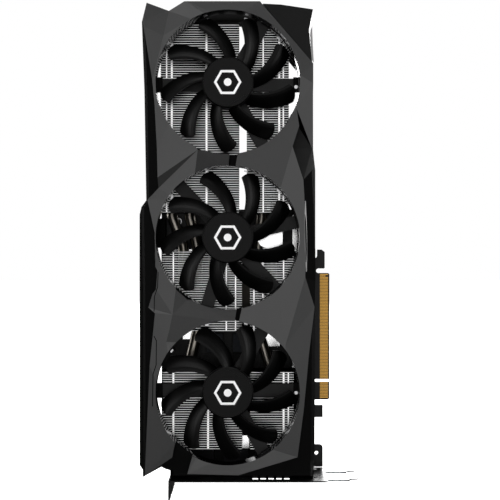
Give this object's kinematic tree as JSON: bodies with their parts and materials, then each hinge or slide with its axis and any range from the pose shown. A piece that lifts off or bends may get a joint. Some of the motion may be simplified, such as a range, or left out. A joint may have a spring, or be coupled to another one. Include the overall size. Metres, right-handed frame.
{
  "type": "graphics card",
  "caption": "Triple-fan graphics card with faceted shroud, finned heat sink, slot bracket, edge connector and freely spinning fans.",
  "frame": {"origin": "outer face of the slot bracket, centred on its flat, level with the component side of the board", "axes": "+Z along the card away from the bracket, +X toward the edge connector, +Y toward the backplate, so the fans face -Y"},
  "size_m": [0.1389, 0.047, 0.3118],
  "materials": {
    "backplate_black": "black painted sheet",
    "screw_black": "black oxide",
    "steel": "bright",
    "tray_metal": "mill finish sheet",
    "board_black": "solder mask, satin",
    "can_metal": "drawn can",
    "plate_nickel": "nickel plated copper",
    "gold": "gold plated",
    "panel_grey": "fine texture, dark grey",
    "badge_black": "satin black with a printed mark",
    "bearing": "sintered bronze",
    "lead_black": "wire sleeve",
    "magnet": "bonded ferrite",
    "arm_grey": "moulded",
    "fan_black": "satin black",
    "coil_copper": "wound copper",
    "socket_black": "moulded",
    "fin_metal": "mill finish sheet",
    "frame_black": "satin black",
    "die_dark": "polished",
    "package_dark": "laminate",
    "pipe_nickel": "nickel plated",
    "ferrite": "moulded ferrite",
    "bracket_black": "black plated",
    "chip_black": "moulded",
    "pad_grey": "soft thermal pad",
    "tail_black": "gloss black"
  },
  "bodies": {
    "card": {"backplate": "backplate_black", "backplate_screws": "screw_black", "backplate_spacers": "steel", "base_tray": "tray_metal", "board": "board_black", "capacitors": "can_metal", "cold_plate": "plate_nickel", "contacts_back": "gold", "contacts_front": "gold", "face_panel_left": "panel_grey", "face_panel_right": "panel_grey", "fan_bottom_bearing": "bearing", "fan_bottom_lead": "lead_black", "fan_bottom_mount": "arm_grey", "fan_bottom_stator": "coil_copper", "fan_headers": "socket_black", "fan_middle_bearing": "bearing", "fan_middle_lead": "lead_black", "fan_middle_mount": "arm_grey", "fan_middle_stator": "coil_copper", "fan_screws": "steel", "fan_top_bearing": "bearing", "fan_top_lead": "lead_black", "fan_top_mount": "arm_grey", "fan_top_stator": "coil_copper", "fins_lower": "fin_metal", "fins_middle": "fin_metal", "fins_upper": "fin_metal", "flank_left": "frame_black", "gpu_die": "die_dark", "gpu_package": "package_dark", "heat_pipes": "pipe_nickel", "inductors": "ferrite", "io_bracket": "bracket_black", "memory_chips": "chip_black", "memory_pads": "pad_grey", "power_pins": "gold", "power_socket": "socket_black", "power_stages": "chip_black", "retention_cross": "screw_black", "shroud_frame": "frame_black", "socket_dp_one": "steel", "socket_dp_three": "steel", "socket_dp_two": "steel", "socket_hdmi": "steel", "socket_tongues": "socket_black", "spring_screws": "steel", "tail_cover": "tail_black"},
    "fan_top": {"fan_top_rotor": "fan_black", "fan_top_badge": "badge_black", "fan_top_magnet": "magnet", "fan_top_shaft": "steel"},
    "fan_middle": {"fan_middle_rotor": "fan_black", "fan_middle_badge": "badge_black", "fan_middle_magnet": "magnet", "fan_middle_shaft": "steel"},
    "fan_bottom": {"fan_bottom_rotor": "fan_black", "fan_bottom_badge": "badge_black", "fan_bottom_magnet": "magnet", "fan_bottom_shaft": "steel"}
  },
  "joints": [
    {"name": "fan_top_spin", "type": "hinge", "parent": "card", "child": "fan_top", "pos_m": [-0.0127, -0.034, 0.25], "axis": [0, -1, 0], "continuous": true},
    {"name": "fan_middle_spin", "type": "hinge", "parent": "card", "child": "fan_middle", "pos_m": [-0.0127, -0.034, 0.1533], "axis": [0, -1, 0], "continuous": true},
    {"name": "fan_bottom_spin", "type": "hinge", "parent": "card", "child": "fan_bottom", "pos_m": [-0.0127, -0.034, 0.0566], "axis": [0, -1, 0], "continuous": true}
  ]
}
